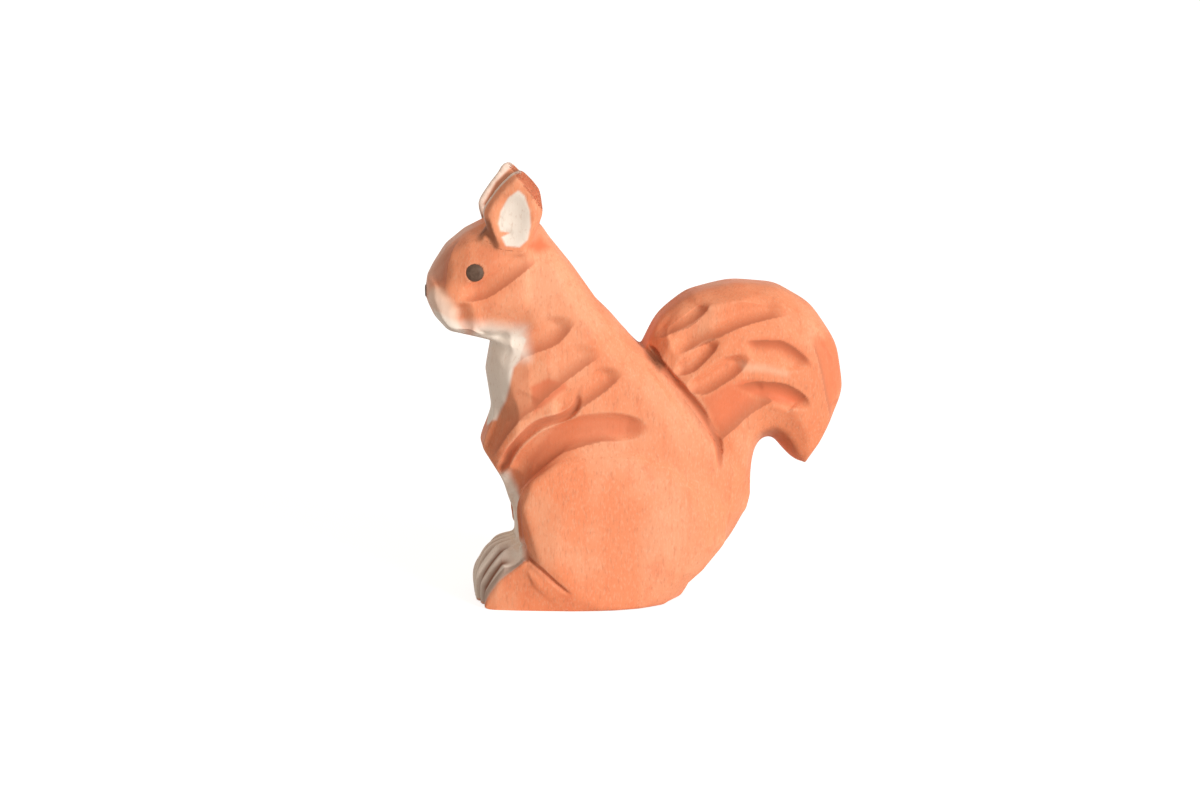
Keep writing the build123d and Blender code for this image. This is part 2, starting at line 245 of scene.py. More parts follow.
def seenRays(tree):
    # 1 for rays that show the backdrop: straight from the camera, in a reflection or through glass
    path = addNode(tree, "LightPath").outputs
    either = path["Is Camera Ray"]
    for name in ("Is Glossy Ray", "Is Transmission Ray"):
        either = addNode(tree, "Math", {0: either, 1: path[name]}, operation="MAXIMUM").outputs[0]
    return either


# Camera, at the photograph's angle

cameraSetup = {
    "azimuth": -6.0,
    "elevation": 10.5,
    "distance": 427.0,
    "target": (-5.85, 0.0, 33.06),
    "lens": 76.8,
    "sensor": 36.0,
    "clip": (10.0, 100000.0),
}


def addCamera(setup):
    side, rise = math.radians(setup["azimuth"]), math.radians(setup["elevation"])
    back = Vector((math.sin(side) * math.cos(rise), -math.cos(side) * math.cos(rise), math.sin(rise)))
    data = bpy.data.cameras.new("photoCamera")
    data.lens = setup["lens"]
    data.sensor_width = setup["sensor"]
    data.clip_start, data.clip_end = (limit * mm for limit in setup["clip"])
    camera = bpy.data.objects.new("photoCamera", data)
    camera.location = (Vector(setup["target"]) + back * setup["distance"]) * mm
    camera.rotation_mode = "QUATERNION"
    camera.rotation_quaternion = (-back).to_track_quat("-Z", "Y")
    scene.collection.objects.link(camera)
    scene.camera = camera


# Light: a broad key from the right at a low angle, and white all round

studioLight = {
    "keyFrom": (0.61, -0.75, 0.25),
    "keyStrength": 2.52,
    "keySpread": 20.0,
    "fillStrength": 0.48,
    "fillColor": (1.0, 0.87, 0.78),
    "seenColor": (1.0, 1.0, 1.0),
    "seenStrength": 1.0,
    "floorSize": 40000.0,
    "floorColor": (0.6, 0.6, 0.6),
    "floorRoughness": 0.9,
    "floorGlow": 0.78,
}


def addStudio(light):
    lamp = bpy.data.lights.new("keyLight", "SUN")
    lamp.energy = light["keyStrength"]
    lamp.angle = math.radians(light["keySpread"])
    key = bpy.data.objects.new("keyLight", lamp)
    key.rotation_mode = "QUATERNION"
    key.rotation_quaternion = Vector(light["keyFrom"]).to_track_quat("Z", "Y")
    scene.collection.objects.link(key)

    room = bpy.data.worlds.new("whiteRoom")
    room.use_nodes = True
    scene.world = room
    tree = room.node_tree
    seen = seenRays(tree)
    setInputs(tree.nodes["Background"], {
        "Color": blendColor(tree, seen, light["fillColor"], light["seenColor"]),
        "Strength": levels(tree, seen, 0.0, 1.0, light["fillStrength"], light["seenStrength"]),
    })

    bpy.ops.mesh.primitive_plane_add(size=light["floorSize"] * mm, location=(0, 0, cadBox[0].z))
    floor = bpy.context.object
    floor.name = "paleFloor"
    paper, tree = newMaterial("palePaper")
    setInputs(tree.nodes["Principled BSDF"], {
        "Base Color": (*light["floorColor"], 1),
        "Roughness": light["floorRoughness"],
        "Specular IOR Level": 0.0,
        "Emission Color": (*light["seenColor"], 1),
        "Emission Strength": times(tree, seenRays(tree), light["floorGlow"]),
    })
    floor.data.materials.append(paper)


# Stained wood

stainedWoodLook = {
    "peach": (0.94, 0.455, 0.26),
    "orange": (0.93, 0.295, 0.132),
    "red": (0.84, 0.205, 0.088),
    # dark brown of stain pooled in the cuts, also used as painted shade
    "groove": (0.52, 0.165, 0.078),
    "fleck": (0.66, 0.215, 0.105),
    "paleWearAndLight": (0.95, 0.56, 0.36),
    "cream": (0.98, 0.87, 0.75),
    "creamGrain": (0.74, 0.55, 0.42),
    # brown of the toe lines, also used as painted shade
    "brownLineAndShade": (0.25, 0.095, 0.045),
    "specular": 0.3,
    "sheen": 0.16,
    "sheenRoughness": 0.3,
    "roughness": (0.6, 0.74),  # from the smoothest to the roughest bands of the grain
    "roughSpan": (0.3, 0.7),
    "relief": 0.35,
    "reliefDepth": 0.05,
}
# Random fields: their noise, the values between which a colour comes in, and how strong it gets
stainedWoodGrain = {
    "wide": dict(noise=dict(scale=(95, 95, 70), detail=3.0, roughness=0.5, distortion=0.3),
                 span=(0.44, 0.66), amount=0.55),
    "patches": dict(noise=dict(scale=(210, 210, 130), detail=4.0, roughness=0.6, distortion=0.4),
                    span=(0.55, 0.72), amount=0.4),
    "bands": dict(noise=dict(scale=(700, 700, 45), detail=3.0, roughness=0.6), span=(0.5, 0.74), amount=0.28),
    "flecks": dict(noise=dict(scale=(2600, 2600, 620), detail=3.0, roughness=0.65),
                   span=(0.5, 0.72), amount=0.5),
    "pores": dict(noise=dict(scale=(4200, 4200, 1500), detail=2.0), span=(0.48, 0.72), amount=0.3),
    "through": dict(noise=dict(scale=(2600, 2600, 900), detail=3.0, roughness=0.65),
                    span=(0.54, 0.74), amount=0.5),
    "fine": dict(noise=dict(scale=(4200, 4200, 900), detail=3.0, roughness=0.6)),
}


def stainedWood(look, grain):
    material, tree = newMaterial("stainedWood")

    def noise(name):
        return noiseField(tree, **grain[name]["noise"])

    def grainShare(name):
        return times(tree, levels(tree, noise(name), *grain[name]["span"]), grain[name]["amount"])

    layers = (
        # watery stain, lighter and deeper in soft patches, and paler towards the back and on the neck and
        # head, partly stain tone and partly painted light
        (grainShare("wide"), "peach"),
        (paintedField(tree, "paleToneAndLight"), "peach"),
        (grainShare("patches"), "red"),
        # upright grain: soft bands, short flecks and fine open pores
        (grainShare("bands"), "red"),
        (grainShare("flecks"), "fleck"),
        (grainShare("pores"), "paleWearAndLight"),
        # stain gathered in the cuts with painted shade under their crisp edges, in hollows and on shaded
        # spots, and worn edges with a painted highlight on the muzzle
        (paintedField(tree, "redStainAndShade"), "red"),
        (paintedField(tree, "pooledStainAndShade"), "groove"),
        (paintedField(tree, "paleWearAndLight"), "paleWearAndLight"),
    )
    color = look["orange"]
    for share, layer in layers:
        color = blendColor(tree, share, color, look[layer])

    # cream paint with the wood showing through, and brown lines over it; the same brown is painted shade on
    # the toe rims, inside the ears and round the nose and mouth
    cream = blendColor(tree, grainShare("through"), look["cream"], look["creamGrain"])
    color = blendColor(tree, paintedField(tree, "cream"), color, cream)
    color = blendColor(tree, paintedField(tree, "line"), color, look["brownLineAndShade"])
    setInputs(tree.nodes["Principled BSDF"], {
        "Base Color": color,
        "Roughness": levels(tree, noise("bands"), *look["roughSpan"], *look["roughness"]),
        "Specular IOR Level": look["specular"],
        "Sheen Weight": look["sheen"],
        "Sheen Roughness": look["sheenRoughness"],
        "Normal": relief(tree, noise("fine"), look["relief"], look["reliefDepth"]),
    })
    return material


# Plain wood: one stain over fine grain, for the small pegs and the dowels

darkWoodLook = {
    "light": (0.155, 0.095, 0.064),
    "dark": (0.115, 0.068, 0.045),
    "roughness": 0.6,
    "grain": (1500, 1500, 1500),
}
dowelWoodLook = {
    "light": (0.66, 0.45, 0.26),
    "dark": (0.48, 0.30, 0.16),
    "roughness": 0.7,
    "grain": (1800, 1800, 300),
}
plainWoodFinish = {"span": (0.35, 0.65), "specular": 0.25, "relief": 0.3, "reliefDepth": 0.03}


def plainWood(name, look, finish):
    material, tree = newMaterial(name)
    grain = noiseField(tree, look["grain"], detail=3.0, roughness=0.6)
    setInputs(tree.nodes["Principled BSDF"], {
        "Base Color": blendColor(tree, levels(tree, grain, *finish["span"]), look["dark"], look["light"]),
        "Roughness": look["roughness"],
        "Specular IOR Level": finish["specular"],
        "Normal": relief(tree, grain, finish["relief"], finish["reliefDepth"]),
    })
    return material


# Carving: the figure is carved as one even surface, then parted into its pieces.
# A pair such as (2.0, 3.0) says where something starts and over how far it comes in, as ramp takes it.

carving = {
    "voxel": 0.25,
    "easeStep": 0.5,  # how far a point moves towards its neighbours in one round of easing
    "easing": 18,
    "earEasing": 34,  # more rounds for the outline of the ears
    "footEasing": 60,  # more rounds where the feet slope off
    "outlineEasing": 130,  # more rounds along the outline of the tail and the rump
    "outlineBack": (2.0, 3.0),
    "outlineUp": (1.5, 2.0),
    "outlineFacing": 0.6,  # below this the surface faces forward, back, up or down rather than sideways
    "fillRounds": 600,
    "lastEasing": 4,
    "sideFacing": (0.1, 0.3),  # strokes are cut where the surface faces sideways
    "wallShare": 0.5,  # where in its width a scoop is deepest
    "cutShare": 1.18,  # all strokes deeper or shallower
    "scoopEnd": 0.18,  # share of its length over which a scoop runs out
    "grooveEnd": 0.14,
    "roundEnd": 0.3,  # share of its length over which a stroke narrows
    "stainShadeFall": 1.4,  # how fast the stain and painted shade under a crisp edge thin out
}

# Where the plain sides are made even before the strokes are cut, in the side view
evenSides = {
    "tail": [
        (2.9, 42.6), (6.4, 47.4), (11.0, 50.2), (17.0, 51.3), (23.6, 49.4), (28.4, 43.6), (30.4, 36.6),
        (28.6, 31.2), (25.6, 31.0), (20.6, 34.0), (14.4, 26.2), (9.6, 34.6), (4.6, 40.6)],
    "arm": [
        (-24.6, 23.4), (-20.2, 18.6), (-12.0, 25.6), (2.6, 27.0), (3.0, 32.6), (-2.0, 41.4), (-8.4, 49.6),
        (-13.4, 49.6), (-21.4, 41.6), (-24.6, 30.6)],
    "cheek": [
        (-31.0, 48.6), (-31.0, 52.6), (-25.4, 54.0), (-20.0, 58.8), (-16.2, 60.2), (-15.6, 56.0),
        (-21.0, 49.6), (-23.4, 45.8), (-28.0, 46.4)],
    "foot": [(-23.0, -0.5), (-22.4, 4.6), (-19.6, 8.6), (-16.4, 12.6), (-7.0, 9.0), (-5.0, -0.5)],
}

# Scoops are drawn by their crisp edge in the side view, as points x and z. The hollow lies to the left
# of the edge as it runs, or to the right with side=-1. Depth may differ between the start and the end.
bodyScoops = {
    "cheek": dict(width=4.4, depth=(0.6, 0.5), edge=[
        (-29.6, 51.3), (-26.2, 51.4), (-23.0, 53.0), (-16.4, 58.0)]),
    "bridge": dict(width=3.0, depth=(0.7, 0.5), edge=[
        (-31.8, 52.8), (-31.5, 55.0), (-31.2, 57.0), (-30.4, 59.2), (-28.8, 61.2)]),
    "shoulder": dict(width=5.4, depth=(0.7, 0.8), edge=[
        (-22.0, 39.4), (-19.0, 42.0), (-13.6, 44.3), (-10.6, 48.0)]),
    "upperArm": dict(width=4.6, depth=(0.6, 0.8), edge=[
        (-14.4, 31.4), (-11.0, 33.1), (-6.1, 36.3), (-2.9, 39.2)]),
    "elbow": dict(width=5.0, depth=(0.4, 0.4), edge=[
        (-19.0, 32.2), (-14.2, 36.7), (-11.0, 39.2), (-6.4, 42.4)]),
    "wrist": dict(width=5.0, depth=(0.9, 0.5), edge=[
        (-24.6, 24.0), (-22.2, 28.5), (-19.1, 32.4), (-15.4, 34.4)]),
    "flank": dict(width=5.0, depth=(1.3, 0.4), edge=[
        (-21.4, 17.0), (-18.0, 22.2), (-14.5, 25.5), (-11.8, 26.8), (-6.9, 28.1), (-2.6, 28.3)]),
    "thigh": dict(width=2.4, depth=(0.5, 0.5), edge=[
        (-18.0, 8.0), (-19.3, 11.8), (-19.8, 15.4), (-20.0, 20.0)]),
    "instep": dict(width=1.0, depth=(0.3, 0.5), edge=[
        (-11.6, 3.0), (-14.4, 5.5), (-16.6, 7.6), (-19.4, 9.9)]),
}

tailScoops = {
    "topLeft": dict(width=4.0, depth=(0.6, 0.9), edge=[
        (2.6, 43.9), (5.4, 45.2), (8.1, 46.3), (10.4, 48.2), (11.9, 50.4)]),
    "high": dict(width=4.4, depth=(0.8, 0.7), edge=[
        (5.4, 41.6), (9.4, 43.2), (12.2, 44.5), (16.8, 46.5), (21.8, 47.7), (24.6, 48.2)]),
    "middle": dict(width=3.2, depth=(0.7, 0.8), edge=[
        (5.4, 38.2), (7.6, 38.7), (9.3, 39.6), (11.8, 42.1), (13.0, 44.4)]),
    "low": dict(width=4.2, depth=(0.8, 1.0), edge=[
        (6.8, 35.7), (10.4, 35.4), (13.5, 37.0), (16.4, 39.1), (18.0, 41.8)]),
    "root": dict(width=6.0, depth=(0.6, 0.8), edge=[
        (12.0, 26.6), (15.6, 29.6), (18.6, 32.1), (23.0, 34.6)]),
    "crown": dict(width=4.4, depth=(0.5, 0.7), side=-1, edge=[
        (16.6, 44.3), (20.1, 44.3), (23.5, 44.0), (26.8, 41.8), (28.4, 39.6)]),
    "tip": dict(width=4.4, depth=(0.5, 1.0), side=-1, edge=[
        (15.0, 36.8), (19.5, 37.4), (23.9, 36.9), (27.2, 34.9), (28.4, 32.6)]),
    "rim": dict(width=4.2, depth=(0.7, 0.7), edge=[
        (28.0, 44.6), (29.3, 40.6), (30.2, 36.6), (31.6, 31.0), (31.8, 29.6)]),
}

# Grooves are the same on both sides of their line; gather is how much stain and painted shade collect in them
grooves = {
    "flankChannel": dict(half=2.4, depth=0.85, gather=0.37, fade=0.15, round=0.26, line=[
        (-20.4, 21.6), (-18.0, 25.2), (-15.0, 27.9), (-11.6, 29.8), (-7.0, 30.5), (-2.8, 30.4),
        (1.0, 29.9)]),
    "mouth": dict(half=2.4, depth=0.5, gather=0.44, soft=True, line=[
        (-29.8, 51.2), (-29.0, 49.0), (-28.2, 46.8), (-27.4, 44.0)]),
    "forearm": dict(half=0.95, depth=0.9, line=[
        (-24.0, 20.2), (-21.1, 26.4), (-19.1, 29.0), (-16.8, 30.9), (-13.4, 32.0), (-11.3, 33.5),
        (-10.5, 35.2), (-9.6, 38.0)]),
    "seam": dict(half=0.8, depth=0.4, line=[
        (0.6, 43.2), (4.1, 39.2), (7.2, 35.8), (9.7, 32.6), (11.7, 29.4), (12.9, 26.4), (12.9, 22.0)]),
    "highFibre": dict(half=0.4, depth=0.6, line=[(1.8, 43.0), (2.8, 42.0), (3.4, 40.6), (4.4, 39.8)]),
    "middleFibre": dict(half=0.35, depth=0.5, line=[(4.2, 40.0), (5.2, 38.2), (6.6, 37.0)]),
    "lowFibre": dict(half=0.35, depth=0.45, line=[(11.0, 31.6), (12.0, 29.6), (13.4, 28.4)]),
}


def endFade(along, share):
    return ramp(along, 0.0, share) * ramp(along, 1.0, -share)


def roundEnds(along, share):
    # how wide a stroke is along its length, with both ends rounded
    toEnd = np.clip(np.minimum(along, 1.0 - along) / share, 0.02, 1.0)
    return np.sqrt(1.0 - (1.0 - toEnd) ** 2)


def nearLine(places, line, reach):
    low, high = line.min(0) - reach, line.max(0) + reach
    return np.flatnonzero(((places > low) & (places < high)).all(1))


def cutScoop(places, scoop):
    # depth of a scoop, and how much stain and painted shade lie under its crisp edge
    line = softLine(scoop["edge"])
    chosen = nearLine(places, line, scoop["width"])
    distance, along, side = alongLine(places[chosen], line)
    fade = endFade(along, carving["scoopEnd"]) * (side == scoop.get("side", 1))
    share = distance / (scoop["width"] * roundEnds(along, carving["roundEnd"]))
    wall = carving["wallShare"]
    rise = np.clip(share / wall, 0, 1)
    profile = np.where(share < wall, rise * (2.0 - rise), ramp(share, 1.0, wall - 1.0))
    start, end = scoop["depth"]
    depth, gatheredStainAndShade = np.zeros(len(places)), np.zeros(len(places))
    depth[chosen] = (start + (end - start) * along) * fade * profile
    gatheredStainAndShade[chosen] = fade * (1.0 - rise) ** carving["stainShadeFall"]
    return depth, gatheredStainAndShade


def cutGroove(places, groove):
    # depth of a groove, with a round or a soft bottom, and how much stain and painted shade lie in it
    line = softLine(groove["line"])
    chosen = nearLine(places, line, groove["half"])
    distance, along, _ = alongLine(places[chosen], line)
    fade = endFade(along, groove.get("fade", carving["grooveEnd"]))
    half = groove["half"] * roundEnds(along, groove.get("round", carving["roundEnd"]))
    share = np.clip(distance / half, 0, 1)
    profile = ramp(share, 1.0, -1.0) if groove.get("soft") else 1.0 - share ** 3
    depth, gatheredStainAndShade = np.zeros(len(places)), np.zeros(len(places))
    depth[chosen] = groove["depth"] * fade * profile
    gatheredStainAndShade[chosen] = fade * (1.0 - share) * groove.get("gather", 1.0)
    return depth, gatheredStainAndShade


def fillSides(mesh):
    # the side walls inside each outline swell until they are as even as a skin stretched over them
    points, _ = readPoints(mesh)
    here, there = meshLinks(mesh)
    places = points[:, [0, 2]]
    inside = np.zeros(len(points), dtype=bool)
    for outline in evenSides.values():
        inside |= insideOutline(places, outline) > 0
    kept = inside[here]
    spots, there = (np.cumsum(inside) - 1)[here[kept]], there[kept]
    count = np.bincount(spots)
    wall = np.abs(points[:, 1])
    swollen = wall.copy()
    for _ in range(carving["fillRounds"]):
        swollen[inside] = np.maximum(wall[inside], np.bincount(spots, swollen[there]) / count)
    points[:, 1] = np.sign(points[:, 1]) * swollen
    writePoints(mesh, points)


# Shaping before the strokes: the front is squarer than an oval, and the feet slope off at their outer edges.
# halfWidths are pairs: how far forward or back, and the half width there.

# places on the outline in the side view, how far each is drawn over, and how far that reaches
outlineShifts = {
    "foot crown": ((-24.0, 8.8), (-0.55, 0.5), 4.0),
    "toe tips": ((-27.0, 0.7), (0.5, 0.0), 2.0),
    "paw": ((-25.0, 27.1), (-0.5, 0.0), 3.0),
    "belly": ((-22.7, 20.4), (0.35, 0.0), 2.5),
    "nape": ((-1.2, 44.4), (-0.45, -0.45), 3.6),
    "rump": ((15.8, 9.9), (0.5, -0.4), 5.0),
    "tail, left": ((5.6, 46.4), (-0.7, 0.7), 5.0),
    "tail, top": ((14.0, 51.0), (0.0, 0.35), 5.0),
    "tail, right": ((31.0, 43.0), (0.4, 0.3), 6.0),
    "hook": ((21.9, 26.1), (0.0, 0.45), 3.0),
    "hook tip": ((26.6, 24.2), (0.2, -0.4), 3.0),
}
squareFront = {
    "push": 1.0,
    "peak": 1.6,  # how far in from the outline the push is largest, and where it ends
    "reach": 8.0,
    "low": (22.0, 6.0),
    "high": (55.0, -3.0),
    "middle": (0.0, 3.0),
}
squareJaw = {
    "low": 44.0,
    "rear": -24.0,
    "round": 1.5,  # how far in from the outline the jaw is rounded over
    "sideFacing": (0.15, 0.3),
    "halfWidths": ((-35.6, 5.4), (-34.8, 6.2), (-33.8, 6.9), (-32.4, 7.6), (-30.0, 8.2), (-27.0, 8.6),
                   (-24.0, 8.6)),
    "taper": 4.0,  # how much narrower it gets where it runs out at the top and the rear
    "taperUp": (51.0, 4.5),
    "taperBack": (-27.5, 3.5),
}
footSlope = {
    "high": 11.0,
    "rear": -7.0,
    "edge": [(-27.2, -1.2), (-25.8, 1.4), (-23.7, 4.7), (-21.5, 6.9), (-19.2, 8.8), (-17.4, 10.0)],
    "slope": 2.0,
    "slopeFrom": (-18.8, -1.0),
    "side": [(-26.6, -1.0), (-25.8, 1.2), (-23.7, 4.7), (-19.4, 8.6), (-18.0, 9.2), (-12.4, 4.3), (-8.0, 1.8),
             (-8.0, -1.0)],
    "sideSoft": 0.8,
    "sideInner": 7.0,  # half width below which a place isn't on the side of a foot
    "halfWidths": ((-26.0, 8.6), (-24.0, 9.4), (-20.0, 10.2), (-16.0, 10.7), (-12.0, 11.0), (-8.0, 11.1)),
    "lean": 0.16,  # how much wider the side gets with each millimetre up
    "leanHigh": 5.0,
    "leanBack": (-22.0, 8.0),
    # the part that is eased before it is sloped
    "easedFront": (-18.6, -1.0),
    "easedOut": (3.5, 1.0),
    "easedLow": (1.5, 1.5),
    "easedHigh": (11.5, -1.0),
}


def lowestBy(key, value, step=0.5):
    # the smallest value for each step of key, as two lists
    level = np.floor(key / step).astype(int)
    first = level.min()
    lowest = np.full(level.max() - first + 1, 99.0)
    np.minimum.at(lowest, level - first, value)
    return (np.arange(len(lowest)) + first + 0.5) * step, lowest


def widenFront(points, width, inward):
    peak, reach = squareFront["peak"], squareFront["reach"]
    push = squareFront["push"] * ramp(inward, 0.0, peak) * ramp(inward, reach, peak - reach)
    push *= ramp(points[:, 2], *squareFront["low"]) * ramp(points[:, 2], *squareFront["high"])
    width += push * ramp(width, *squareFront["middle"])


def flattenJaw(points, normals, width, inward):
    head = np.flatnonzero((points[:, 2] > squareJaw["low"]) & (points[:, 0] < squareJaw["rear"]))
    across, height = points[head, 0], points[head, 2]
    upward = height - np.interp(across, *lowestBy(across, height))
    rounded = 1.0 - np.clip(np.minimum(inward[head], upward) / squareJaw["round"], 0.0, 1.0)
    flat = np.interp(across, *zip(*squareJaw["halfWidths"])) * np.sqrt(1.0 - rounded ** 2)
    flat -= squareJaw["taper"] * ramp(height, *squareJaw["taperUp"])
    flat -= squareJaw["taper"] * ramp(across, *squareJaw["taperBack"])
    sideways = ramp(np.abs(normals[head, 1]), *squareJaw["sideFacing"])
    width[head] += np.maximum(flat - width[head], 0.0) * sideways


def slopeFeet(points, width):
    feet = np.flatnonzero((points[:, 2] < footSlope["high"]) & (points[:, 0] < footSlope["rear"]))
    places = points[feet][:, [0, 2]]
    across, height = places.T
    lean = np.clip(height, 0.0, footSlope["leanHigh"]) * ramp(across, *footSlope["leanBack"])
    flush = np.interp(across, *zip(*footSlope["halfWidths"])) + footSlope["lean"] * lean
    onSide = softInside(places, footSlope["side"], footSlope["sideSoft"])
    onSide *= width[feet] > footSlope["sideInner"]
    width[feet] += np.maximum(flush - width[feet], 0.0) * onSide

    # whatever stands over a slope that falls away from the edge is moved square onto it
    edge = softLine(footSlope["edge"])
    distance, along, above = alongLine(places, edge)
    slope = footSlope["slope"]
    over = np.maximum(width[feet] + slope * distance - flush, 0.0) * (above > 0) / (1.0 + slope ** 2)
    over *= ramp(across, *footSlope["slopeFrom"])
    width[feet] -= over
    nearest = edge[np.round(along * (len(edge) - 1)).astype(int)]
    toEdge = (nearest - places) / np.maximum(distance, 0.01)[:, None]
    points[feet[:, None], [0, 2]] += toEdge * (slope * over)[:, None]


def shapeSides(mesh):
    points, normals = readPoints(mesh)
    for place, shift, reach in outlineShifts.values():
        near = np.exp(-((points[:, [0, 2]] - place) ** 2).sum(1) / reach ** 2)
        points[:, [0, 2]] += near[:, None] * np.array(shift)
    side = np.where(points[:, 1] < 0, -1.0, 1.0)
    width = np.abs(points[:, 1])
    inward = points[:, 0] - np.interp(points[:, 2], *lowestBy(points[:, 2], points[:, 0]))
    widenFront(points, width, inward)
    flattenJaw(points, normals, width, inward)
    slopeFeet(points, width)
    points[:, 1] = side * width
    writePoints(mesh, points)


# Toes: cream on top of the feet, with a brown line in each groove between them, and painted shade along the
# outer rim

toes = {
    "count": 7,
    "pitch": 2.15,
    "lineHalf": 0.44,
    "lineWider": 0.9,  # how much wider, as a share, the lines are on the outer slope
    "lineOut": (3.0, 3.0),
    "lineFront": (-20.6, -2.4),
    "depth": 0.5,
    "front": (-18.6, -1.2),
    "high": (12.6, -2.5),
    "low": (0.2, 0.6),
    "inward": (0.2, 0.4),
    # where the painted shade along the outer rim of a foot comes in
    "rim": (1.8, -0.5),
}


def toeFields(points):
    # how much each place belongs to the top of a foot, to a brown line on it, and to the painted shade along
    # its rim
    inward = np.interp(points[:, 0], *zip(*footSlope["halfWidths"])) - np.abs(points[:, 1])
    onTop = ramp(points[:, 0], *toes["front"]) * ramp(points[:, 2], *toes["high"])
    onTop *= ramp(points[:, 2], *toes["low"]) * ramp(inward, *toes["inward"])
    middle = (toes["count"] - 1) / 2
    nearest = np.clip(np.round(points[:, 1] / toes["pitch"]), -middle, middle) * toes["pitch"]
    half = toes["lineHalf"] * (1.0 + toes["lineWider"] * ramp(np.abs(points[:, 1]), *toes["lineOut"]))
    lines = np.exp(-((points[:, 1] - nearest) / half) ** 2) * ramp(points[:, 0], *toes["lineFront"])
    return onTop, onTop * lines, onTop * ramp(inward, *toes["rim"])


# Eyes and nose: pegs with their rims rounded over; the eyes lie in shallow recesses

pegPiece = {
    "voxel": 0.09,
    "easing": 6,
    "recess": 0.4,
    "room": 0.02,
    "rim": -0.12,  # over how far the recess gets deeper
    "length": 3.0,
    "flatFacing": -0.7,
}
eyeOutward = {"left_eye": (0, -1, 0), "right_eye": (0, 1, 0)}
noseShade = {"amount": 0.6, "reach": (1.9, -0.8), "tip": 0.3, "stretch": (1.0, 0.8, 1.0)}


def eyeHollow(points, node):
    # 1 where an eye comes out of the figure, 0 away from it; its axis is square to its flat inner end
    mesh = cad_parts[node].data
    peg, _ = readPoints(mesh)
    outward = Vector(eyeOutward[node])
    flats = [face for face in mesh.polygons if face.normal.dot(outward) < pegPiece["flatFacing"]]
    inward = sum((face.normal * face.area for face in flats), Vector()).normalized()
    axis = -np.array(inward)
    middle = peg.mean(0)

    def fromAxis(places):
        reach = places - middle
        return np.linalg.norm(reach - (reach @ axis)[:, None] * axis, axis=1), np.abs(reach @ axis)

    radius = fromAxis(peg)[0].max() + pegPiece["room"]
    across, depth = fromAxis(points)
    return ramp(across, radius, pegPiece["rim"]) * (depth < pegPiece["length"])


def noseSpot(points):
    # painted shade round the nose
    nose, _ = readPoints(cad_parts["nose"].data)
    tip = nose[nose[:, 0] < nose[:, 0].min() + noseShade["tip"]].mean(0)
    away = np.linalg.norm((points - tip) * noseShade["stretch"], axis=1)
    return noseShade["amount"] * ramp(away, *noseShade["reach"])


def makePeg(node, name):
    mesh = evenMesh([node], name, pegPiece["voxel"])
    easePoints(mesh, pegPiece["easing"], np.full(len(mesh.vertices), carving["easeStep"]))
    return placePiece(mesh, name)


# Ears: cream in the hollow and along the front edge, painted shade inside, all placed on the blade's own
# plane

earPiece = {
    "root": (-20.9, 7.3, 60.0),
    "toe": 7.0,
    "splay": 5.0,
    "cutLevel": 68.3,  # height plus half width at which an ear is parted from the head
    "blend": 1.0,  # over how far the shaping of an ear comes in below that
    "edgeFacing": 0.75,
    "grow": 0.6,
    "fill": 0.5,  # share of the hollow's depth that is taken up again
    "fillDeepest": 3.0,
    "fillIn": (0.0, 0.6),
    "outerFacing": 0.3,
    "rimBand": (-0.9, -0.2),  # the rim round the hollow, as distances to its outline
    "rearShift": {-1: 0.0, 1: -0.8},  # left and right: the right ear's rear edge hides behind the left ear
    "rearUp": (1.0, 7.0),
    "rearBack": (-1.5, 3.0),
    # outlines on the blade, backward and up from the middle of its root
    "hollow": [(1.2, 9.5), (-0.4, 8.3), (-1.7, 6.0), (-2.1, 4.0), (-1.8, 2.8), (-0.3, 2.4), (-1.6, 1.8),
               (-0.9, 0.4), (1.3, 0.2), (2.6, 1.4), (3.1, 3.6), (3.0, 6.1), (2.2, 8.6)],
    "front": [(-2.9, -0.5), (-4.7, 5.6), (-2.4, 9.4), (1.0, 12.6)],
}
earPaint = {
    "hollowSoft": 0.4,
    # pale front edge: near the front line, on the inner half, above the root
    "paleNear": (1.1, -0.6),
    "paleInner": (0.1, -0.5),
    "paleUp": (2.6, 1.8),
    "paleShare": 0.8,
    # painted shade on the inner face
    "innerOut": (-0.2, -0.4),
    "innerUp": (11.6, -1.5),
    "innerBack": (3.4, -0.8),
    # painted shade at the foot of the front edge
    "footFacing": (-0.25, -0.2),
    "footUp": (5.2, -1.2),
    "footBack": (-1.2, -0.6),
    "footShare": 0.8,
}


def earPlaces(points, side):
    # places on the blade: backward, up and outward, in millimetres, and the outward direction
    toe, splay = math.radians(earPiece["toe"]), math.radians(earPiece["splay"])
    back = np.array([math.cos(toe), side * math.sin(toe), 0])
    out = np.array([-math.sin(toe), side * math.cos(toe), 0])
    up = math.cos(splay) * np.array([0, 0, 1.0]) + math.sin(splay) * out
    out = math.cos(splay) * out - math.sin(splay) * np.array([0, 0, 1.0])
    root = np.array([earPiece["root"][0], side * earPiece["root"][1], earPiece["root"][2]])
    return (points - root) @ np.array([back, up, out]).T, out


def onEars(points):
    level = np.abs(points[:, 1]) + points[:, 2]
    return ramp(level, earPiece["cutLevel"] - earPiece["blend"], earPiece["blend"])


def earPoints(points, side):
    return np.flatnonzero((onEars(points) > 0) & (np.sign(points[:, 1]) == side))


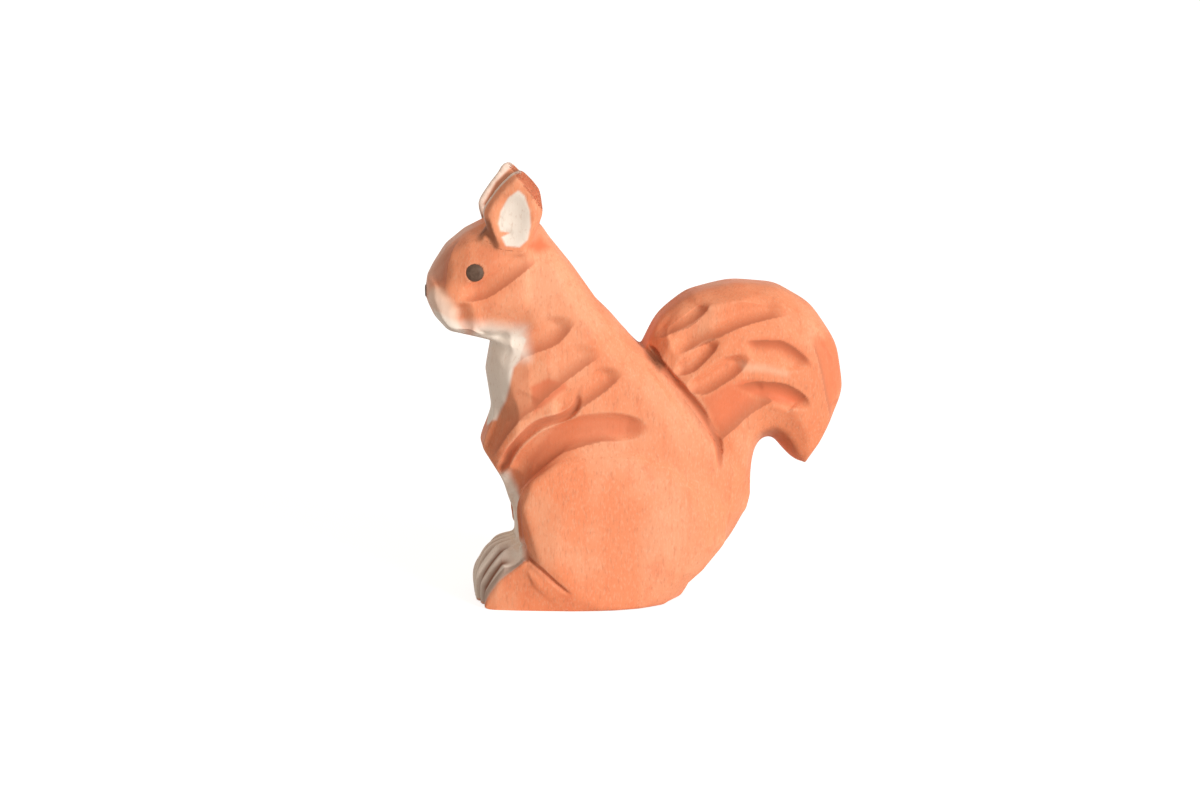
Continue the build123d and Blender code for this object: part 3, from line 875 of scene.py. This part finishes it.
def shapeEars(mesh):
    # the outline of each blade is rounded, then drawn out again so that the ear keeps its size
    points, normals = readPoints(mesh)
    edgeOn = np.abs(normals[:, 1]) < earPiece["edgeFacing"]
    easePoints(mesh, carving["earEasing"], carving["easeStep"] * onEars(points) * edgeOn)
    points, normals = readPoints(mesh)
    for side in (-1, 1):
        chosen = earPoints(points, side)
        blade, out = earPlaces(points[chosen], side)
        back, up, outward = blade.T
        facing = normals[chosen] @ out
        grown = earPiece["grow"] * (1.0 - np.abs(facing)) * onEars(points[chosen])
        points[chosen] += normals[chosen] * grown[:, None]
        rear = ramp(up, *earPiece["rearUp"]) * ramp(back, *earPiece["rearBack"])
        points[chosen, 0] += earPiece["rearShift"][side] * rear

        # the hollow is filled part of the way up to the level of its rim
        inside = insideOutline(blade[:, :2], earPiece["hollow"])
        outer = facing > earPiece["outerFacing"]
        rimLow, rimHigh = earPiece["rimBand"]
        level = np.median(outward[outer & (inside < rimHigh) & (inside > rimLow)])
        raised = earPiece["fill"] * np.clip(level - outward, 0.0, earPiece["fillDeepest"]) * outer
        raised *= ramp(inside, *earPiece["fillIn"])
        points[chosen] += raised[:, None] * out
    writePoints(mesh, points)


def paintEars(points, normals):
    # cream and painted shade of both ears
    cream, gatheredStainAndShade = np.zeros(len(points)), np.zeros(len(points))
    for side in (-1, 1):
        chosen = earPoints(points, side)
        blade, _ = earPlaces(points[chosen], side)
        back, up, outward = blade.T
        hollow = softInside(blade[:, :2], earPiece["hollow"], earPaint["hollowSoft"]) * (outward > 0)
        fromFront, _, _ = alongLine(blade[:, :2], np.array(earPiece["front"]))
        pale = ramp(fromFront, *earPaint["paleNear"]) * ramp(outward, *earPaint["paleInner"])
        pale *= ramp(up, *earPaint["paleUp"])
        inner = ramp(outward, *earPaint["innerOut"]) * ramp(up, *earPaint["innerUp"])
        inner *= ramp(back, *earPaint["innerBack"])
        foot = ramp(normals[chosen, 0], *earPaint["footFacing"]) * ramp(up, *earPaint["footUp"])
        foot *= ramp(back, *earPaint["footBack"])
        onEar = onEars(points[chosen])
        cream[chosen] = onEar * np.maximum(hollow, pale * earPaint["paleShare"])
        gatheredStainAndShade[chosen] = onEar * np.maximum(inner, foot * earPaint["footShare"]) * (1.0 - pale)
    return cream, gatheredStainAndShade


# Paint on the body, by outlines in the side view, with painted light and shade among it

creamPatches = {
    "chin": dict(soft=2.2, outline=[
        (-40, 51.0), (-34.4, 50.6), (-33.0, 50.0), (-31.2, 48.9), (-29.6, 47.8), (-28.4, 46.6),
        (-27.6, 44.0), (-40, 44.0)]),
    # cream paint on the muzzle, laid on stronger as painted light
    "muzzle": dict(soft=3.0, amount=0.55, outline=[
        (-40, 53.6), (-33.4, 53.4), (-31.4, 51.4), (-30.0, 49.4), (-30.2, 46.0), (-40, 46.0)]),
    "mouth": dict(soft=1.6, amount=0.5, outline=[
        (-29.8, 48.2), (-27.0, 48.0), (-26.4, 43.0), (-29.4, 43.0)]),
    "throat": dict(soft=3.6, outline=[
        (-29.0, 42.0), (-27.2, 47.4), (-24.6, 47.4), (-21.3, 46.8), (-19.0, 46.8), (-18.6, 42.0)]),
    "chest": dict(soft=0.7, outline=[
        (-40, 45.5), (-19.2, 45.5), (-18.6, 44.8), (-19.8, 41.6), (-20.9, 40.4), (-21.4, 38.2),
        (-22.1, 34.6), (-23.4, 31.6), (-40, 31.0)]),
    "belly": dict(soft=1.6, halfWidth=7.6, outline=[
        (-40, 22.6), (-21.4, 22.6), (-19.0, 17.0), (-18.0, 9.0), (-40, 8.0)]),
}

# the field each patch is painted in, how strong it is, how softly it ends, and its outline
stainLightAndShadePatches = {
    "chestSide": ("pooledStainAndShade", 0.42, 0.5, [
        (-21.2, 40.6), (-18.8, 42.0), (-18.4, 37.9), (-18.3, 32.0), (-22.4, 30.8), (-23.2, 33.0)]),
    "upperArm": ("redStainAndShade", 0.75, 0.8, [
        (-18.1, 37.2), (-15.4, 38.6), (-12.6, 38.0), (-12.4, 37.1), (-17.7, 32.7)]),
    # painted shade on the paw
    "paw": ("pooledStainAndShade", 0.36, 1.0, [(-26.6, 31.0), (-22.6, 32.4), (-21.4, 29.8), (-23.8, 25.2), (-26.6, 27.0)]),
    "hollow": ("redStainAndShade", 0.55, 1.6, [
        (-18.6, 24.8), (-14.2, 31.0), (-8.6, 32.4), (-1.0, 31.8), (0.8, 30.3), (-1.0, 29.0), (-8.0, 28.6),
        (-13.0, 26.4), (-17.6, 22.8)]),
    # painted shade in the recess below the arm
    "hollowEnd": ("pooledStainAndShade", 0.4, 2.4, [
        (-20.6, 20.4), (-17.0, 27.6), (-11.6, 28.6), (-11.8, 27.0), (-17.8, 22.4)]),
    # painted shade on the front facet of the nose bridge
    "bridge": ("pooledStainAndShade", 0.8, 0.7, [
        (-30.4, 59.6), (-31.3, 57.0), (-31.6, 54.2), (-32.2, 53.8), (-34.1, 54.8), (-33.8, 56.8),
        (-32.6, 58.6), (-31.0, 60.4)]),
    # painted shade along the front of the thigh
    "thigh": ("pooledStainAndShade", 0.62, 1.0, [
        (-22.4, 22.0), (-20.0, 20.0), (-19.9, 15.0), (-18.8, 9.4), (-20.4, 9.4), (-22.0, 15.0)]),
    "tailEnd": ("redStainAndShade", 0.85, 1.2, [
        (16.4, 37.8), (22.1, 37.2), (26.2, 35.3), (27.0, 33.9), (24.6, 33.2), (19.6, 34.6), (15.0, 36.8)]),
    "tailRoot": ("redStainAndShade", 0.7, 1.6, [(10.0, 34.8), (14.6, 37.4), (19.4, 34.0), (13.6, 28.6), (12.0, 30.2)]),
    "tailMiddle": ("redStainAndShade", 0.75, 1.2, [
        (17.6, 44.3), (20.1, 44.6), (23.5, 44.2), (26.8, 42.2), (28.2, 40.0), (26.2, 40.8), (23.0, 42.6),
        (18.0, 43.2)]),
    "tailRim": ("redStainAndShade", 0.6, 3.0, [
        (28.4, 44.4), (29.3, 41.1), (30.2, 36.6), (31.4, 32.2), (33.6, 34.4), (34.6, 39.0), (32.6, 44.4)]),
    # painted light: the neck, head and ears made paler
    "neck": ("paleToneAndLight", 0.34, 2.4, [
        (-27.4, 46.6), (-29.0, 50.6), (-26.0, 50.8), (-22.6, 52.5), (-15.8, 57.6), (-12.6, 57.4),
        (-8.0, 51.6), (-5.6, 46.6), (-9.6, 43.6), (-14.0, 46.6), (-20.0, 47.2)]),
    "head": ("paleToneAndLight", 0.24, 2.4, [
        (-34.0, 53.0), (-31.4, 59.4), (-28.0, 62.4), (-22.0, 64.0), (-14.0, 60.4), (-16.0, 56.6),
        (-23.0, 52.0), (-30.0, 50.6)]),
    "ears": ("paleToneAndLight", 0.34, 2.0, [(-27.0, 60.4), (-27.0, 75.0), (-12.0, 75.0), (-14.0, 60.4)]),
    # painted highlight on the muzzle
    "muzzle": ("paleWearAndLight", 0.7, 1.6, [
        (-36, 53.4), (-32.4, 53.4), (-31.0, 51.6), (-29.6, 50.0), (-30.4, 47.0), (-36, 47.0)]),
    # painted shade under the hook of the tail
    "hook": ("pooledStainAndShade", 0.6, 1.2, [
        (20.4, 28.6), (22.8, 29.6), (25.0, 28.2), (26.4, 25.8), (26.6, 23.8), (24.4, 25.6), (22.4, 26.8),
        (20.4, 26.4)]),
    # painted shade on the top of the tail
    "tailTop": ("pooledStainAndShade", 0.16, 1.4, [(10.8, 49.0), (14.0, 50.6), (20.8, 50.5), (21.0, 52.0), (13.0, 52.4)]),
    "tailRidge": ("paleWearAndLight", 0.6, 1.3, [
        (16.2, 40.6), (20.3, 40.3), (24.4, 38.9), (24.2, 38.0), (20.3, 39.0), (16.8, 39.2)]),
    "earFoot": ("redStainAndShade", 1.0, 1.6, [(-18.4, 60.2), (-16.0, 61.4), (-14.6, 59.6), (-16.8, 58.8)]),
    "browBack": ("redStainAndShade", 0.35, 2.4, [(-26.4, 59.6), (-22.6, 60.2), (-23.6, 55.0), (-25.6, 57.6)]),
    # painted shade in the gaps at the top of the seam
    "seamTop": ("line", 0.75, 1.2, [(1.0, 42.7), (2.6, 42.2), (4.2, 39.8), (3.2, 39.0), (1.2, 41.2)]),
    # painted shade at the corner of the mouth
    "mouthEnd": ("line", 0.24, 2.2, [(-29.6, 50.4), (-27.6, 49.4), (-27.4, 47.0), (-28.8, 46.6)]),
    # painted shade along the left edge of the tail
    "tailLeft": ("pooledStainAndShade", 0.5, 1.4, [
        (1.4, 44.0), (3.0, 47.2), (6.0, 50.0), (9.4, 52.0), (9.2, 50.6), (6.2, 48.2), (3.8, 45.4),
        (2.6, 43.4)]),
    "seamBand": ("redStainAndShade", 0.6, 1.0, [
        (1.2, 42.6), (4.9, 39.6), (8.2, 36.0), (10.9, 32.6), (12.9, 29.0), (13.8, 25.4), (12.9, 25.4),
        (10.7, 29.4), (8.7, 32.6), (6.4, 35.8), (3.1, 39.2), (0.6, 41.6)]),
    # painted shade in the pocket above the foot and along the crease
    "instep": ("pooledStainAndShade", 0.85, 0.8, [(-20.8, 9.8), (-19.6, 10.8), (-18.4, 9.6), (-17.4, 8.0), (-18.8, 8.2)]),
    "instepBand": ("pooledStainAndShade", 0.4, 0.9, [
        (-19.0, 9.0), (-17.0, 7.7), (-14.6, 5.5), (-12.0, 3.3), (-13.8, 4.1), (-16.4, 5.9), (-18.6, 7.4)]),
}

paintWork = {
    "middle": (6.5, -6.5),  # half width, towards the middle of the figure
    "hang": 2.2,  # how much lower the cream hangs there
    "middleLoss": 0.75,  # how much of the stain, light and shade patches is left out there
    "sideEnd": -2.4,  # over how far cream ends at a patch's halfWidth
    "faceCream": 0.4,
    "faceFront": (-25.0, -3.0),
    "faceUp": (46.0, 2.0),
    "faceMiddle": (5.6, -4.6),
    "curveGain": 9.0,  # how much paint answers to how sharply the surface bends
    # darker in hollows, as pooled stain and painted shade, and paler on sharp edges, as wear
    "curvePoolAndShade": 0.3,
    "curveStart": 0.05,
    "curveWorn": 0.45,
    "pooledStainAndShade": 0.68,  # shares of the gathered stain and painted shade
    # share of the gathered stain and painted shade that turns the wood red
    "redStainAndShade": 0.5,
    "backToneAndLight": 0.34,  # paler towards the back, partly stain tone and partly painted light, less so low down, and less on the tail
    "backTurn": (-14.0, 20.0),
    "lowToneAndLight": 0.4,
    "lowTurn": (20.0, 12.0),
    "tailToneAndLight": 0.25,
    "tailTurn": (0.0, 1.5),
    # how strongly the painted shade on the toe rims and inside the ears shows
    "toeRimShadeShare": 0.6,
    "earShadeShare": 0.92,
}

# Parting planes: a point on each, and the way out of the body

seamTop, seamBottom = Vector((1.5, 0, 42.0)), Vector((19.3, 0, 17.9))
partings = {
    "tail": (seamTop, (seamBottom - seamTop).cross(Vector((0, 1, 0))).normalized()),
    "left_ear": (Vector((0, 0, earPiece["cutLevel"])), Vector((0, -1, 1)).normalized()),
    "right_ear": (Vector((0, 0, earPiece["cutLevel"])), Vector((0, 1, 1)).normalized()),
}


def paintCream(points, onMiddle):
    half = np.abs(points[:, 1])
    hanging = points[:, [0, 2]] + np.outer(onMiddle, (0.0, paintWork["hang"]))
    onFace = ramp(points[:, 0], *paintWork["faceFront"]) * ramp(points[:, 2], *paintWork["faceUp"])
    cream = paintWork["faceCream"] * onFace * ramp(half, *paintWork["faceMiddle"])
    for patch in creamPatches.values():
        layer = patch.get("amount", 1.0) * softInside(hanging, patch["outline"], patch["soft"])
        if "halfWidth" in patch:
            layer *= ramp(half, patch["halfWidth"], paintWork["sideEnd"])
        cream = np.maximum(cream, layer)
    return cream


def paintPaleToneAndLight(points):
    place, outward = partings["tail"]
    fromSeam = (points - np.array(place)) @ np.array(outward)
    low = paintWork["lowToneAndLight"]
    upper = low + (1.0 - low) * ramp(points[:, 2], *paintWork["lowTurn"])
    paleToneAndLight = paintWork["backToneAndLight"] * ramp(points[:, 0], *paintWork["backTurn"]) * upper
    return paleToneAndLight - paintWork["tailToneAndLight"] * ramp(fromSeam, *paintWork["tailTurn"])


def surfaceCurve(mesh, points, normals):
    # above 0 in a hollow, below 0 on an edge
    links = meshLinks(mesh)
    curve = ((neighbourMean(links, points) - points) * normals).sum(1)
    for _ in range(2):
        curve = neighbourMean(links, curve)
    return curve * paintWork["curveGain"]


def paintFigure(mesh, points, normals, gatheredStainAndShade):
    onMiddle = ramp(np.abs(points[:, 1]), *paintWork["middle"])
    onToes, toeLines, toeRimShade = toeFields(points)
    earCream, earShade = paintEars(points, normals)
    cream = np.maximum(earCream, paintCream(points, onMiddle))
    curve = surfaceCurve(mesh, points, normals)
    lines = np.maximum(toeLines, toeRimShade * paintWork["toeRimShadeShare"])
    lines = np.maximum(lines, earShade * paintWork["earShadeShare"])
    # darker brown is stain gathered in the cuts plus painted shade; the brown lines carry painted shade on
    # the toe rims, inside the ears and round the nose
    fields = {
        "cream": np.maximum(cream, onToes),
        "pooledStainAndShade": gatheredStainAndShade * paintWork["pooledStainAndShade"] + np.clip(curve, 0, paintWork["curvePoolAndShade"]),
        "redStainAndShade": gatheredStainAndShade * paintWork["redStainAndShade"],
        "paleWearAndLight": np.clip(-curve - paintWork["curveStart"], 0, paintWork["curveWorn"]),
        "paleToneAndLight": paintPaleToneAndLight(points),
        "line": np.maximum(lines, noseSpot(points)),
    }
    shown = (1.0 - onToes) * (1.0 - paintWork["middleLoss"] * onMiddle)
    for field, amount, soft, outline in stainLightAndShadePatches.values():
        layer = amount * softInside(points[:, [0, 2]], outline, soft) * shown
        fields[field] = np.maximum(fields[field], layer)
    fields["pooledStainAndShade"] = fields["pooledStainAndShade"] * (1.0 - onToes)
    for name, values in fields.items():
        storeField(mesh, name, np.clip(values, 0, 1))


# Carve the whole figure, then part it

def easeFigure(mesh):
    points, normals = readPoints(mesh)
    everywhere = np.full(len(points), 1.0)
    behind = ramp(points[:, 0], *carving["outlineBack"]) * ramp(points[:, 2], *carving["outlineUp"])
    behind *= np.abs(normals[:, 1]) < carving["outlineFacing"]
    onFeet = ramp(points[:, 0], *footSlope["easedFront"]) * ramp(np.abs(points[:, 1]), *footSlope["easedOut"])
    onFeet *= ramp(points[:, 2], *footSlope["easedLow"]) * ramp(points[:, 2], *footSlope["easedHigh"])
    for rounds, share in (("easing", everywhere), ("outlineEasing", behind), ("footEasing", onFeet)):
        easePoints(mesh, carving[rounds], carving["easeStep"] * share)


def carveFigure():
    mesh = evenMesh(list(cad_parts.keys()), "figure", carving["voxel"])
    print("figure grid:", len(mesh.vertices), "points")
    easeFigure(mesh)
    shapeSides(mesh)
    shapeEars(mesh)
    fillSides(mesh)
    easePoints(mesh, carving["lastEasing"], np.full(len(mesh.vertices), carving["easeStep"]))
    print("figure shaped")

    points, normals = readPoints(mesh)
    places = points[:, [0, 2]]
    sunk, gatheredStainAndShade = np.zeros(len(points)), np.zeros(len(points))
    cuts = [cutScoop(places, scoop) for scoop in (*bodyScoops.values(), *tailScoops.values())]
    cuts += [cutGroove(places, groove) for groove in grooves.values()]
    for depth, redStainAndShade in cuts:
        sunk = np.maximum(sunk, depth)
        gatheredStainAndShade = np.maximum(gatheredStainAndShade, redStainAndShade)
    sideways = ramp(np.abs(normals[:, 1]), *carving["sideFacing"]) * (1.0 - onEars(points))
    sunk *= sideways * carving["cutShare"]
    sunk += toes["depth"] * toeFields(points)[1]
    for node in eyeOutward:
        sunk += pegPiece["recess"] * eyeHollow(points, node)
    writePoints(mesh, points - normals * sunk[:, None])
    paintFigure(mesh, *readPoints(mesh), gatheredStainAndShade * sideways)
    print("figure carved")
    return mesh


def placePiece(mesh, name):
    for face in mesh.polygons:
        face.use_smooth = len(face.vertices) <= 4  # the large parting faces stay flat
    piece = bpy.data.objects.new(name, mesh)
    scene.collection.objects.link(piece)
    return piece


def cutAway(half, parting, keepOuter):
    place, outward = partings[parting]
    everything = half.verts[:] + half.edges[:] + half.faces[:]
    cut = bmesh.ops.bisect_plane(half, geom=everything, plane_co=place * mm, plane_no=outward,
                                 clear_outer=not keepOuter, clear_inner=keepOuter)
    rim = [e for e in cut["geom_cut"] if isinstance(e, bmesh.types.BMEdge)]
    bmesh.ops.edgeloop_fill(half, edges=rim)


def partFigure(mesh, name, node):
    # one piece of the carved figure, closed by flat faces where its neighbours are glued on
    half = bmesh.new()
    half.from_mesh(mesh)
    for parting in partings:
        if node in (parting, "body"):
            cutAway(half, parting, keepOuter=node == parting)
    bmesh.ops.recalc_face_normals(half, faces=half.faces[:])
    made = bpy.data.meshes.new(name)
    half.to_mesh(made)
    half.free()
    return placePiece(made, name)


# Put the figure together

addCamera(cameraSetup)
addStudio(studioLight)
print("camera and light ready")

figure = carveFigure()
stained = {
    "body": partFigure(figure, "carvedBody", "body"),
    "tail": partFigure(figure, "carvedTail", "tail"),
    "left_ear": partFigure(figure, "leftEarBlade", "left_ear"),
    "right_ear": partFigure(figure, "rightEarBlade", "right_ear"),
}
bpy.data.meshes.remove(figure)
pegs = {
    "left_eye": makePeg("left_eye", "leftEyePeg"),
    "right_eye": makePeg("right_eye", "rightEyePeg"),
    "nose": makePeg("nose", "nosePeg"),
}
print("carved pieces ready")


def finishPieces(pieces, material):
    for node, piece in pieces.items():
        piece.data.materials.clear()
        piece.data.materials.append(material)
        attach(piece, "root")
        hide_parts(node)


finishPieces(stained, stainedWood(stainedWoodLook, stainedWoodGrain))
finishPieces(pegs, plainWood("darkPegWood", darkWoodLook, plainWoodFinish))
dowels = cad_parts["tail_dowels"].data
dowels.materials.clear()
dowels.materials.append(plainWood("bareDowelWood", dowelWoodLook, plainWoodFinish))
print("materials ready")
